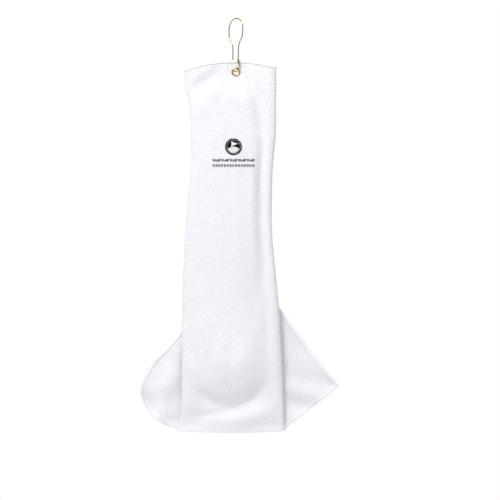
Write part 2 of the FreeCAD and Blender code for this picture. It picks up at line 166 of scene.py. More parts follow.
class Graph:
    """A material's node tree with short calls for the nodes that the finishes use."""

    def __init__(self, name: str) -> None:
        """Start a material with a Principled shader.

        Args:
            name: name of the material.
        """
        self.material = bpy.data.materials.new(name)
        self.material.use_nodes = True
        self.tree = self.material.node_tree
        self.shader = self.tree.nodes["Principled BSDF"]

    def node(self, kind: str, **values: object) -> bpy.types.Node:
        """Add a node.

        Args:
            kind: the node's type.
            **values: properties of the node, or values of its inputs by name.

        Returns:
            The node.
        """
        node = self.tree.nodes.new(kind)
        for key, value in values.items():
            if hasattr(node, key):
                setattr(node, key, value)
            else:
                node.inputs[key.replace("_", " ").title()].default_value = value
        return node

    def link(self, source: bpy.types.NodeSocket, target: bpy.types.NodeSocket) -> None:
        """Join two sockets."""
        self.tree.links.new(source, target)

    def coordinates(self, output: str) -> bpy.types.NodeSocket:
        """Object or UV coordinates."""
        return self.node("ShaderNodeTexCoord").outputs[output]

    def noise(self, vector: bpy.types.NodeSocket, scale: float, detail: float = 2.0,
              roughness: float = 0.5) -> bpy.types.NodeSocket:
        """Add a noise texture.

        Args:
            vector: where it is read.
            scale: how many cells there are to a metre.
            detail: number of finer layers.
            roughness: weight of the finer layers.

        Returns:
            Its grey output.
        """
        node = self.node("ShaderNodeTexNoise", Scale=scale, Detail=detail, Roughness=roughness)
        self.link(vector, node.inputs["Vector"])
        return node.outputs[0]

    def ramp(self, value: bpy.types.NodeSocket, low: tuple[float, ...], high: tuple[float, ...],
             start: float = 0.0, end: float = 1.0) -> bpy.types.NodeSocket:
        """Map a grey value to a colour.

        Args:
            value: the grey value.
            low: colour at the start.
            high: colour at the end.
            start: value at which the change starts.
            end: value at which it ends.

        Returns:
            The colour.
        """
        node = self.node("ShaderNodeValToRGB")
        node.color_ramp.elements[0].position = start
        node.color_ramp.elements[0].color = (*low, 1.0)
        node.color_ramp.elements[1].position = end
        node.color_ramp.elements[1].color = (*high, 1.0)
        self.link(value, node.inputs["Fac"])
        return node.outputs["Color"]

    def maths(self, operation: str, first: bpy.types.NodeSocket,
              second: bpy.types.NodeSocket | float) -> bpy.types.NodeSocket:
        """Combine two values.

        Args:
            operation: name of the operation.
            first: the first value.
            second: the second value, a socket or a number.

        Returns:
            The result.
        """
        node = self.node("ShaderNodeMath", operation=operation)
        self.link(first, node.inputs[0])
        if isinstance(second, float):
            node.inputs[1].default_value = second
        else:
            self.link(second, node.inputs[1])
        return node.outputs[0]

    def bump(self, height: bpy.types.NodeSocket, depth: float, strength: float = 1.0,
             base: bpy.types.NodeSocket | None = None) -> bpy.types.NodeSocket:
        """Turn a height into a normal.

        Args:
            height: the height, from 0 to 1.
            depth: what a height of 1 stands for, in metres.
            strength: share of the effect.
            base: a normal that this one is added to.

        Returns:
            The normal.
        """
        node = self.node("ShaderNodeBump", Strength=strength, Distance=depth)
        self.link(height, node.inputs["Height"])
        if base is not None:
            self.link(base, node.inputs["Normal"])
        return node.outputs["Normal"]


@dataclass(frozen=True)
class TerryFinish:
    """Sheared terry velour: dense short loops, slightly uneven, with a soft sheen."""

    name: str = "terry_cloth"
    light: tuple[float, float, float] = (0.93, 0.93, 0.945)
    shade: tuple[float, float, float] = (0.80, 0.80, 0.84)
    clump_size: float = 3.0 * MM
    pile_size: float = 0.9 * MM
    pile_depth: float = 0.55 * MM
    clump_depth: float = 1.0 * MM
    rib_depth: float = 0.12 * MM
    patch_depth: float = 1.2 * MM
    patch_scale: float = 45.0
    fibre_scale: float = 2600.0
    rib_width: float = 5.4 * MM
    roughness: float = 0.95
    sheen: float = 0.25

    def build(self) -> bpy.types.Material:
        """Make the material, which follows the cloth's own UV map in metres.

        Returns:
            The material.
        """
        graph = Graph(self.name)
        uv = graph.coordinates("UV")
        loops = graph.node("ShaderNodeTexVoronoi", Scale=1.0 / self.pile_size, Randomness=0.85)
        graph.link(uv, loops.inputs["Vector"])
        rows = graph.node("ShaderNodeTexWave", Scale=1.0 / self.rib_width, Distortion=1.5)
        rows.inputs["Detail"].default_value = 1.0
        graph.link(uv, rows.inputs["Vector"])
        patches = graph.noise(uv, self.patch_scale, 4.0, 0.6)
        fibres = graph.noise(uv, self.fibre_scale, 2.0, 0.7)
        clumps = graph.node("ShaderNodeTexVoronoi", Scale=1.0 / self.clump_size, Randomness=0.6)
        graph.link(uv, clumps.inputs["Vector"])
        pile = graph.maths("SUBTRACT", fibres, loops.outputs["Distance"])
        # The colour is darker between the pile's loops and between its clumps, which is painted
        # shade in the pile's hollows; the patches add random uneven tone.
        tone = graph.maths("MULTIPLY", loops.outputs["Distance"], 0.55)
        tone = graph.maths("ADD", tone, graph.maths("MULTIPLY", patches, 0.35))
        tone = graph.maths("ADD", tone,
                           graph.maths("MULTIPLY", clumps.outputs["Distance"], 0.35))
        colour = graph.ramp(tone, self.light, self.shade, 0.25, 0.95)
        graph.link(colour, graph.shader.inputs["Base Color"])
        graph.shader.inputs["Roughness"].default_value = self.roughness
        graph.shader.inputs["Sheen Weight"].default_value = self.sheen
        graph.shader.inputs["Sheen Roughness"].default_value = 0.5
        graph.shader.inputs["Sheen Tint"].default_value = (0.95, 0.95, 1.0, 1.0)
        graph.shader.inputs["Specular IOR Level"].default_value = 0.2
        ribs = graph.bump(rows.outputs["Fac"], self.rib_depth)
        tufts = graph.bump(pile, self.pile_depth, 0.75, ribs)
        tufts = graph.bump(graph.maths("MULTIPLY", clumps.outputs["Distance"], -1.0),
                           self.clump_depth, 0.5, tufts)
        patchy = graph.bump(patches, self.patch_depth, 0.35, tufts)
        graph.link(patchy, graph.shader.inputs["Normal"])
        return graph.material


@dataclass(frozen=True)
class ThreadFinish:
    """Twisted thread with a fine ply along its length."""

    name: str
    light: tuple[float, float, float]
    shade: tuple[float, float, float]
    roughness: float = 0.6
    sheen: float = 0.15
    gloss: float = 0.3
    ply_scale: float = 520.0
    fluff_scale: float = 1800.0
    relief: float = 0.15 * MM

    def build(self) -> bpy.types.Material:
        """Make the material.

        Returns:
            The material.
        """
        graph = Graph(self.name)
        place = graph.coordinates("Object")
        ply = graph.node("ShaderNodeTexWave", Scale=self.ply_scale, Distortion=2.5)
        ply.bands_direction = "DIAGONAL"
        ply.inputs["Detail"].default_value = 2.0
        graph.link(place, ply.inputs["Vector"])
        fluff = graph.noise(place, self.fluff_scale, 3.0)
        tone = graph.maths("MULTIPLY", graph.maths("ADD", ply.outputs["Fac"], fluff), 0.5)
        graph.link(graph.ramp(tone, self.shade, self.light, 0.2, 0.8),
                   graph.shader.inputs["Base Color"])
        graph.shader.inputs["Roughness"].default_value = self.roughness
        graph.shader.inputs["Sheen Weight"].default_value = self.sheen
        graph.shader.inputs["Specular IOR Level"].default_value = self.gloss
        graph.link(graph.bump(tone, self.relief, 0.8), graph.shader.inputs["Normal"])
        return graph.material


@dataclass(frozen=True)
class BrassFinish:
    """Brass plating with small scuffs and slight tarnish."""

    name: str
    bright: tuple[float, float, float]
    tarnish: tuple[float, float, float]
    roughness: float = 0.22
    unevenness: float = 0.18
    stain_scale: float = 160.0
    scuff_scale: float = 1400.0
    scuff_depth: float = 0.03 * MM

    def build(self) -> bpy.types.Material:
        """Make the material.

        Returns:
            The material.
        """
        graph = Graph(self.name)
        place = graph.coordinates("Object")
        stains = graph.noise(place, self.stain_scale, 4.0, 0.6)
        scuffs = graph.noise(place, self.scuff_scale, 3.0, 0.7)
        graph.link(graph.ramp(stains, self.bright, self.tarnish, 0.45, 0.85),
                   graph.shader.inputs["Base Color"])
        uneven = graph.maths("MULTIPLY", scuffs, self.unevenness)
        rough = graph.maths("ADD", uneven, self.roughness - self.unevenness / 3.0)
        graph.link(rough, graph.shader.inputs["Roughness"])
        graph.shader.inputs["Metallic"].default_value = 1.0
        graph.link(graph.bump(scuffs, self.scuff_depth, 0.5), graph.shader.inputs["Normal"])
        return graph.material


@dataclass(frozen=True)
class HemFinish:
    """Flat-woven hem: crossing threads with no pile."""

    name: str = "hem_weave"
    light: tuple[float, float, float] = (0.93, 0.93, 0.95)
    shade: tuple[float, float, float] = (0.80, 0.80, 0.84)
    thread: float = 0.8 * MM
    fibre_scale: float = 2200.0
    roughness: float = 0.9
    sheen: float = 0.15
    relief: float = 0.25 * MM

    def build(self) -> bpy.types.Material:
        """Make the material, which follows the cloth's own UV map in metres.

        Returns:
            The material.
        """
        graph = Graph(self.name)
        uv = graph.coordinates("UV")
        weave = []
        for direction in ("X", "Y"):
            wave = graph.node("ShaderNodeTexWave", Scale=0.314 / self.thread, Distortion=0.8)
            wave.bands_direction = direction
            wave.inputs["Detail"].default_value = 1.0
            graph.link(uv, wave.inputs["Vector"])
            weave.append(wave.outputs["Fac"])
        cloth = graph.maths("MULTIPLY", weave[0], weave[1])
        fibres = graph.noise(uv, self.fibre_scale, 2.0, 0.7)
        tone = graph.maths("MULTIPLY", graph.maths("ADD", cloth, fibres), 0.5)
        graph.link(graph.ramp(tone, self.shade, self.light, 0.1, 0.7),
                   graph.shader.inputs["Base Color"])
        graph.shader.inputs["Roughness"].default_value = self.roughness
        graph.shader.inputs["Sheen Weight"].default_value = self.sheen
        graph.shader.inputs["Specular IOR Level"].default_value = 0.2
        graph.link(graph.bump(tone, self.relief, 0.8), graph.shader.inputs["Normal"])
        return graph.material


class Palette:
    """Every finish of the object, built once."""

    def __init__(self) -> None:
        """Build the materials."""
        self.terry = TerryFinish().build()
        self.hem = HemFinish().build()
        self.hem_thread = ThreadFinish("hem_thread", (0.90, 0.90, 0.92), (0.70, 0.70, 0.74)).build()
        self.dark_thread = ThreadFinish(
            "dark_thread", (0.012, 0.012, 0.013), (0.004, 0.004, 0.004), roughness=0.6,
            sheen=0.0, gloss=0.12).build()
        self.motif_thread = ThreadFinish(
            "motif_thread", (0.92, 0.92, 0.93), (0.70, 0.70, 0.72), roughness=0.5,
            sheen=0.1).build()
        self.wire = BrassFinish("brass_wire", (0.66, 0.52, 0.20), (0.34, 0.26, 0.09)).build()
        self.grommet = BrassFinish(
            "pale_brass", (0.86, 0.70, 0.36), (0.55, 0.42, 0.18), roughness=0.26).build()


# ------------------------------------------------------------------ the folded cloth


class Side(Enum):
    """Which of the towel's two folds is meant; the value is its direction along X."""

    LEFT = -1.0
    RIGHT = 1.0


@dataclass(frozen=True)
class Crease:
    """A soft valley or ridge pressed into the front panel.

    path runs in shares of the panel's width (from its left edge) and length (from its top edge),
    height is forward, so a valley's is negative, and fade eases it out at both ends.
    """

    path: tuple[tuple[float, float], ...]
    height: float
    width: float
    fade: float = 0.25

    def relief(self, s: np.ndarray, t: np.ndarray, aspect: float) -> np.ndarray:
        """Forward displacement of the panel.

        Args:
            s: share of the panel's width.
            t: share of its length.
            aspect: the panel's length over its width.

        Returns:
            The displacement, in metres.
        """
        path = [(p[0], p[1] * aspect) for p in self.path]
        gap, along = distance_to_path(s, t * aspect, path)
        ends = smooth(along / self.fade) * smooth((1.0 - along) / self.fade)
        return self.height * np.exp(-((gap / self.width) ** 2)) * (0.15 + 0.85 * ends)


@dataclass(frozen=True)
class Fold:
    """One side third of the towel, folded behind the front and turned out again at its foot."""

    side: Side
    width: float
    layer: float          # depth of the fold's middle at the grommet
    crease_depth: float   # depth behind the front panel's edge, below the waist
    inner_depth: float    # depth of the fold's inner edge below the waist
    slant: float          # angle between the turned-out corner's fold line and the vertical
    bend: float           # radius of that fold
    opening: float        # angle by which the turned-out corner stands away from the fold
    curl_start: float     # distance towards the corner where it starts to curl back
    curl_radius: float
    curl_limit: float
    wave: float = 0.0     # height of the ripple across the turned-out corner
    wave_length: float = 60.0 * MM
    droop: float = 0.0    # how far the corner's lower edge hangs below a straight line
    belly: float = 0.0    # how far its upper edge swells outwards
    belly_place: float = 100.0 * MM
    belly_spread: float = 40.0 * MM
    swell: float = 0.0    # how far a soft ridge, parallel to the fold line, stands forward
    swell_place: float = 45.0 * MM

    def turned_out(self, past: np.ndarray, along: np.ndarray) -> tuple[np.ndarray, ...]:
        """Shape the turned-out corner.

        Args:
            past: distance beyond the fold line.
            along: distance along the fold line, from the foot of the crease.

        Returns:
            The distance outwards, the distance along and the depth behind the fold.
        """
        rise = along - past * math.tan(self.slant)
        along = along - self.droop * smooth(past / (30.0 * MM)) * np.exp(
            -((rise / (55.0 * MM)) ** 2)) * (1.0 - smooth((past - 45.0 * MM) / (45.0 * MM)))
        past = past + self.belly * smooth(past / (60.0 * MM)) * np.exp(
            -(((along - self.belly_place) / self.belly_spread) ** 2))
        mean = self.slant - math.radians(45.0)
        out_share, along_share = math.cos(mean), math.sin(mean)
        reach = past * out_share + along * along_share
        turn = np.clip((reach - self.curl_start) / self.curl_radius, 0.0, self.curl_limit)
        rest = np.maximum(reach - self.curl_start - turn * self.curl_radius, 0.0)
        shown = np.minimum(reach, self.curl_start) + self.curl_radius * np.sin(turn) \
            + rest * np.cos(turn)
        curled = self.curl_radius * (1.0 - np.cos(turn)) + rest * np.sin(turn)
        lift = past * math.sin(self.opening)
        phase = (past * 0.6 + along * 0.8) / self.wave_length * 2.0 * math.pi
        ripple = self.wave * np.cos(phase) * smooth(past / (30.0 * MM)) * np.exp(
            -((along / (95.0 * MM)) ** 2))
        shift = shown - reach
        swell = self.swell * np.exp(-(((past - self.swell_place) / (15.0 * MM)) ** 2))
        return (past * math.cos(self.opening) + shift * out_share, along + shift * along_share,
                lift + curled + ripple - swell)


@dataclass
class ClothShape:
    """Where each point of the flat towel lies once it is folded, hung and gathered."""

    length: float = 631.1 * MM
    front_width: float = 170.0 * MM
    crease_ease: float = 2.6 * MM     # what a crease loses when it is rounded
    calm_rise: float = 8.0 * MM       # the flat cloth about the grommet reaches up to the hook
    calm_reach: float = 15.0 * MM
    calm_ease: float = 45.0 * MM
    top: float = -70.9 * MM
    bottom: float = -702.0 * MM
    arch_radius: float = 244.0 * MM
    arch_centre: float = -3.0 * MM
    grommet: tuple[float, float] = (0.0, -90.3 * MM)
    corners: tuple[float, float] = (-98.5 * MM, 82.0 * MM)   # of the front panel's lower edge
    front_depth: float = 1.8 * MM
    softness: float = 1.5 * MM        # height below which the relief fades out
    pinned_share: float = 0.06        # share of the width along each crease with less relief
    left: Fold = field(default_factory=lambda: Fold(
        side=Side.LEFT, width=108 * MM, layer=0.0, crease_depth=1.0 * MM, inner_depth=3.0 * MM,
        slant=math.radians(17.3), bend=3.0 * MM, opening=math.radians(2), curl_start=27 * MM,
        curl_radius=29 * MM, curl_limit=math.radians(92), wave=2.5 * MM, wave_length=60.0 * MM,
        droop=8.0 * MM, belly=9.0 * MM, belly_place=98.0 * MM, belly_spread=36.0 * MM,
        swell=7.0 * MM, swell_place=44.0 * MM))
    right: Fold = field(default_factory=lambda: Fold(
        side=Side.RIGHT, width=130 * MM, layer=1.8 * MM, crease_depth=2.8 * MM,
        inner_depth=19.0 * MM, slant=math.radians(19.2), bend=3.0 * MM, opening=math.radians(3),
        curl_start=95 * MM, curl_radius=60 * MM, curl_limit=math.radians(30), wave=4.5 * MM,
        wave_length=50.0 * MM, belly=11.0 * MM, belly_place=200.0 * MM, belly_spread=75.0 * MM))
    left_edge: Places = field(default_factory=lambda: [
        (0.0, -88.6), (0.05, -86.0), (0.09, -81.0), (0.15, -77.2), (0.21, -76.2), (0.28, -77.2),
        (0.38, -83.0), (0.50, -88.0), (0.66, -91.8), (0.85, -92.6), (0.94, -93.5), (1.0, -98.5)])
    right_edge: Places = field(default_factory=lambda: [
        (0.0, 68.5), (0.10, 68.4), (0.20, 67.2), (0.27, 63.0), (0.34, 61.2), (0.46, 61.4),
        (0.54, 66.0), (0.64, 72.3), (0.75, 76.8), (0.88, 80.0), (1.0, 82.0)])
    bow: Places = field(default_factory=lambda: [
        (0.0, 4.5), (0.03, 6.0), (0.06, 7.0), (0.14, 9.0), (0.25, 12.5), (0.45, 16.0),
        (0.65, 17.0), (0.79, 21.0), (0.86, 17.5), (0.90, 12.0), (0.94, 7.0), (0.97, 5.0),
        (1.0, 2.5)])
    across: Places = field(default_factory=lambda: [
        (0.0, 0.16), (0.08, 0.42), (0.22, 0.76), (0.45, 1.0), (0.70, 0.92), (0.79, 0.66),
        (0.85, 0.46), (0.90, 0.50), (0.96, 0.44), (1.0, 0.28)])
    creases: tuple[Crease, ...] = (
        Crease(((0.48, 0.026), (0.34, 0.038), (0.10, 0.066)), -11.0 * MM, 0.050, 0.15),
        Crease(((0.47, 0.056), (0.26, 0.090), (0.07, 0.146)), 2.0 * MM, 0.070, 0.2),
        Crease(((0.63, 0.030), (0.76, 0.09), (0.82, 0.20)), -6.0 * MM, 0.055, 0.15),
        Crease(((0.82, 0.16), (0.86, 0.40), (0.88, 0.64)), -8.0 * MM, 0.048),
        Crease(((0.76, 0.20), (0.78, 0.42), (0.80, 0.62)), 3.0 * MM, 0.05),
        Crease(((0.28, 0.795), (0.50, 0.820), (0.74, 0.795)), 6.0 * MM, 0.20, 0.15),
        Crease(((0.14, 0.865), (0.26, 0.912), (0.47, 0.938), (0.68, 0.910), (0.86, 0.860)),
               -9.0 * MM, 0.075, 0.26),
        Crease(((0.46, 0.940), (0.22, 0.957), (-0.02, 0.992)), -6.0 * MM, 0.05, 0.12),
        Crease(((0.35, 0.975), (0.70, 0.960), (0.95, 0.93)), 5.0 * MM, 0.09),
        Crease(((0.10, 0.78), (0.13, 0.88), (0.10, 0.95)), 4.0 * MM, 0.07),
    )

    @property
    def flat_width(self) -> float:
        """Width of the towel before it was folded."""
        return self.left.width + self.front_width + self.right.width

    def top_at(self, x: np.ndarray) -> np.ndarray:
        """Height of the arched top edge."""
        reach = np.clip(x - self.arch_centre, -0.12, 0.12)
        return self.top - self.arch_radius + np.sqrt(self.arch_radius**2 - reach**2)

    def crease_at(self, side: Side, t: np.ndarray) -> np.ndarray:
        """Place across of a crease, with what its rounding will take away."""
        edge = self.left_edge if side is Side.LEFT else self.right_edge
        return curve_through(t, edge) * MM + side.value * self.crease_ease

    def level(self, x: np.ndarray, down: np.ndarray) -> np.ndarray:
        """Height of a point at a share of the way down the cloth."""
        lifted = 2.2 * MM * ((x + 8.0 * MM) / (90.0 * MM)) ** 2 * np.clip(down, 0.0, 1.0) ** 4
        return self.top_at(x) + (self.bottom - self.top_at(x)) * down + lifted

    def calm(self, x: np.ndarray, z: np.ndarray) -> np.ndarray:
        """0 where the grommet presses the cloth flat, 1 where it is free."""
        away = np.hypot(x - self.grommet[0], z - self.grommet[1] - self.calm_rise)
        return smooth((away - self.calm_reach) / self.calm_ease)

    def front(self, a: np.ndarray, b: np.ndarray) -> np.ndarray:
        """Places of points of the front panel.

        Args:
            a: distance from the panel's left edge, on the flat towel.
            b: distance from its top edge.

        Returns:
            The places, one row of three for each point.
        """
        s, t = a / self.front_width, b / self.length
        left = self.crease_at(Side.LEFT, t)
        right = self.crease_at(Side.RIGHT, t)
        x = left + (right - left) * s
        z = self.level(x, t)
        aspect = self.length / self.front_width
        relief = curve_through(t, self.bow) * MM * curve_through(s, self.across)
        for crease in self.creases:
            relief = relief + crease.relief(s, t, aspect)
        pinned = smooth(np.minimum(s, 1.0 - s) / self.pinned_share)
        relief = 0.5 * (relief + np.sqrt(relief**2 + self.softness ** 2))
        relief = relief * self.calm(x, z) * (0.5 + 0.5 * pinned)
        return np.stack([x, -self.front_depth - relief, z], axis=-1)

    def behind(self, fold: Fold, q: np.ndarray, b: np.ndarray) -> np.ndarray:
        """Places of points of a fold.

        Args:
            fold: which fold.
            q: distance from its crease, on the flat towel.
            b: distance from the top edge.

        Returns:
            The places, one row of three for each point.
        """
        sign = fold.side.value
        h = self.length - b
        cosine, sine = math.cos(fold.slant), math.sin(fold.slant)
        beyond = (q - h * math.tan(fold.slant)) * cosine
        along = q * sine + h * cosine
        past = np.maximum(beyond - fold.bend * math.pi, 0.0)
        turn = np.clip(beyond / fold.bend, 0.0, math.pi)
        out, along, depth = fold.turned_out(past, along)
        inward = np.where(beyond > 0, fold.bend * np.sin(turn), beyond) - out
        q2 = along * sine + inward * cosine
        h2 = along * cosine - inward * sine
        down = 1.0 - h2 / self.length
        t = np.clip(down, 0.0, 1.0)
        crease = self.crease_at(fold.side, t)
        x = crease - sign * q2
        z = self.level(np.clip(x, *self.corners), down)
        free = smooth((t - 0.06) / 0.25)
        across = smooth(np.clip(q2 / fold.width, 0.0, 1.0) * 1.6)
        sag = fold.crease_depth + (fold.inner_depth - fold.crease_depth) * across
        y = fold.layer * (1.0 - free) + sag * free + fold.bend * (1.0 - np.cos(turn)) + depth
        return np.stack([x, y, z], axis=-1)

    def place(self, a: np.ndarray, b: np.ndarray) -> np.ndarray:
        """Places of points of the flat towel.

        Args:
            a: distance from its left edge.
            b: distance from its top edge.

        Returns:
            The places, one row of three for each point.
        """
        a, b = np.broadcast_arrays(a, b)
        start, end = self.left.width, self.left.width + self.front_width
        left = self.behind(self.left, start - a, b)
        right = self.behind(self.right, a - end, b)
        middle = self.front(np.clip(a - start, 0.0, self.front_width), b)
        on_left = (a < start)[..., None]
        on_right = (a > end)[..., None]
        return np.where(on_left, left, np.where(on_right, right, middle))


class Face(Enum):
    """Which side of the cloth something is on; the value is its direction along the normal."""

    FRONT = 1.0
    BACK = -1.0


class Cloth:
    """The folded sheet as a grid of points, which everything that is sewn to it follows."""

    CELL = 5.0 * MM
    FINE_CELL = 2.5 * MM
    THICKNESS = 2.0 * MM
    HOLE = 5.2 * MM
    SEAT = 9.0 * MM
    SEAT_EASE = 14.0 * MM
    SEAT_SHARE = 0.58
    HOLD_REACH = 25.0 * MM     # how far from an edge or a crease the cloth is held
    HOLD_START = 15.0 * MM     # distance from the grommet's centre where the hold starts to ease
    HOLD_EASE = 40.0 * MM
    FREEDOM = 0.93             # what the hold loses where the cloth is freest

    def __init__(self, shape: ClothShape) -> None:
        """Lay the grid out on the shape.

        Args:
            shape: how the towel is folded and hung.
        """
        self.shape = shape
        self.width, self.length = shape.flat_width, shape.length
        self.columns = int(round(self.width / self.CELL))
        self.rows = int(round(self.length / self.CELL))
        a = np.linspace(0.0, self.width, self.columns + 1)
        b = np.linspace(0.0, self.length, self.rows + 1)
        self.grid = shape.place(a[None, :], b[:, None])

    def relax(self, steps: int, strength: float = 0.5) -> None:
        """Round the creases by averaging each point with its neighbours.

        Args:
            steps: how often.
            strength: share of the way to the average at each step.
        """
        for _ in range(steps):
            padded = np.pad(self.grid, ((1, 1), (1, 1), (0, 0)), mode="reflect",
                            reflect_type="odd")
            mean = (padded[:-2, 1:-1] + padded[2:, 1:-1] + padded[1:-1, :-2]
                    + padded[1:-1, 2:]) / 4.0
            self.grid = self.grid + (mean - self.grid) * strength

    def spread_out(self) -> tuple[bpy.types.Object, np.ndarray, np.ndarray]:
        """Make the folded sheet as a plain grid, with the flat towel as a second shape.

        Returns:
            The object, and the column and the row of each of its points.
        """
        deselect()
        bpy.ops.mesh.primitive_grid_add(x_subdivisions=self.columns, y_subdivisions=self.rows,
                                        size=1.0)
        obj = bpy.context.object
        count = len(obj.data.vertices)
        plain = np.zeros(count * 3)
        obj.data.vertices.foreach_get("co", plain)
        plain = plain.reshape(-1, 3)
        column = np.rint((plain[:, 0] + 0.5) * self.columns).astype(int)
        row = np.rint((0.5 - plain[:, 1]) * self.rows).astype(int)
        start = self.grid[row, column]
        obj.data.vertices.foreach_set("co", start.reshape(-1))
        obj.shape_key_add(name="folded")
        flat = obj.shape_key_add(name="flat")
        a, b = column / self.columns * self.width, row / self.rows * self.length
        flat.data.foreach_set("co", np.stack([a, np.zeros(count), -b], axis=-1).reshape(-1))
        flat.value = 0.0
        group = obj.vertex_groups.new(name="held")
        for number, weight in enumerate(self.held(a, b, start)):
            group.add([number], float(weight), "REPLACE")
        return obj, column, row

    def soften(self, obj: bpy.types.Object, frames: int) -> None:
        """Give the sheet the springs and damping of heavy terry.

        Args:
            obj: the sheet.
            frames: how long it is let go.
        """
        modifier = obj.modifiers.new("settle", "CLOTH")
        cloth = modifier.settings
        cloth.quality = 8
        cloth.mass = 0.02
        cloth.tension_stiffness = 30.0
        cloth.compression_stiffness = 30.0
        cloth.shear_stiffness = 8.0
        cloth.bending_stiffness = 1.5
        cloth.tension_damping = 15.0
        cloth.compression_damping = 15.0
        cloth.air_damping = 4.0
        cloth.vertex_group_mass = "held"
        cloth.pin_stiffness = 1.0
        cloth.rest_shape_key = obj.data.shape_keys.key_blocks["flat"]
        modifier.collision_settings.use_collision = False
        modifier.collision_settings.use_self_collision = False
        modifier.point_cache.frame_start = 1
        modifier.point_cache.frame_end = frames

    def settle(self, frames: int = 24, cap: float = 6.0 * MM) -> None:
        """Let the sheet find its own small folds as cloth.

        Its rest shape is the flat towel, so cloth that the folding left over buckles and cloth
        that it stretched pulls tight. The grommet, the edges and the creases are held.

        Args:
            frames: how long it is let go.
            cap: the most that a point may move.
        """
        obj, column, row = self.spread_out()
        self.soften(obj, frames)
        scene = bpy.context.scene
        for frame in range(1, frames + 1):
            scene.frame_set(frame)
        result = obj.evaluated_get(bpy.context.evaluated_depsgraph_get()).data
        moved = np.zeros(len(result.vertices) * 3)
        result.vertices.foreach_get("co", moved)
        start = self.grid[row, column]
        shift = moved.reshape(-1, 3) - start
        size = np.linalg.norm(shift, axis=1, keepdims=True)
        LOG.info("cloth settled by %.1f mm at most, %.1f mm on average", size.max() / MM,
                 size.mean() / MM)
        shift = shift * np.minimum(1.0, cap / np.maximum(size, 1e-9))
        self.grid[row, column] = start + shift
        bpy.data.objects.remove(obj, do_unlink=True)
        scene.frame_set(1)

    def held(self, a: np.ndarray, b: np.ndarray, places: np.ndarray) -> np.ndarray:
        """How firmly each point is held: fully at the grommet, edges and creases.

        Args:
            a: distance of each point from the towel's left edge.
            b: distance from its top edge.
            places: where the points lie.

        Returns:
            A weight for each point, 1 where it is held fully.
        """
        x, z = self.shape.grommet
        away = np.hypot(places[:, 0] - x, places[:, 2] - z)
        first, last = self.shape.left.width, self.shape.left.width + self.shape.front_width
        gap = np.minimum(np.abs(a - first), np.abs(a - last))
        gap = np.minimum(gap, np.minimum(a, self.width - a))
        gap = np.minimum(gap, np.minimum(b, self.length - b))
        free = smooth(gap / self.HOLD_REACH) * smooth((away - self.HOLD_START) / self.HOLD_EASE)
        return np.clip(1.0 - free * self.FREEDOM, 0.0, 1.0)

    @staticmethod
    def weights(f: np.ndarray) -> list[np.ndarray]:
        """The four weights of a smooth curve through evenly spaced points.

        Args:
            f: share of the way from the second point to the third.

        Returns:
            The weight of each of the four points.
        """
        return [
            -0.5 * f + f**2 - 0.5 * f**3,
            1.0 - 2.5 * f**2 + 1.5 * f**3,
            0.5 * f + 2.0 * f**2 - 1.5 * f**3,
            -0.5 * f**2 + 0.5 * f**3,
        ]

    def loose(self, a: np.ndarray, b: np.ndarray) -> np.ndarray:
        """Middle of the cloth at flat places, before the grommet presses it.

        Args:
            a: distance from the towel's left edge.
            b: distance from its top edge.

        Returns:
            The places, one row of three for each point.
        """
        padded = np.pad(self.grid, ((1, 1), (1, 1), (0, 0)), mode="reflect", reflect_type="odd")
        u, v = a / self.width * self.columns, b / self.length * self.rows
        i = np.clip(np.floor(u), 0, self.columns - 1).astype(int)
        j = np.clip(np.floor(v), 0, self.rows - 1).astype(int)
        across, down = self.weights(u - i), self.weights(v - j)
        total = np.zeros((*np.shape(u), 3))
        for row in range(4):
            for column in range(4):
                share = (down[row] * across[column])[..., None]
                total = total + padded[j + row, i + column] * share
        return total

    def at(self, a: np.ndarray, b: np.ndarray) -> np.ndarray:
        """Middle of the cloth at flat places.

        Args:
            a: distance from the towel's left edge.
            b: distance from its top edge.

        Returns:
            The places, one row of three for each point.
        """
        places = self.loose(a, b)
        x, z = self.shape.grommet
        away = np.hypot(places[..., 0] - x, places[..., 2] - z)
        pressed = 1.0 - smooth((away - self.SEAT) / self.SEAT_EASE)
        places[..., 1] = places[..., 1] * (1.0 - self.SEAT_SHARE * pressed)
        return places

    def normal(self, a: np.ndarray, b: np.ndarray) -> np.ndarray:
        """Direction out of the cloth's outer face.

        Args:
            a: distance from the towel's left edge.
            b: distance from its top edge.

        Returns:
            The unit directions, one row of three for each point.
        """
        step = 1.0 * MM
        along = self.at(a + step, b) - self.at(a - step, b)
        down = self.at(a, b + step) - self.at(a, b - step)
        out = np.cross(down, along)
        return out / np.maximum(np.linalg.norm(out, axis=-1, keepdims=True), 1e-12)

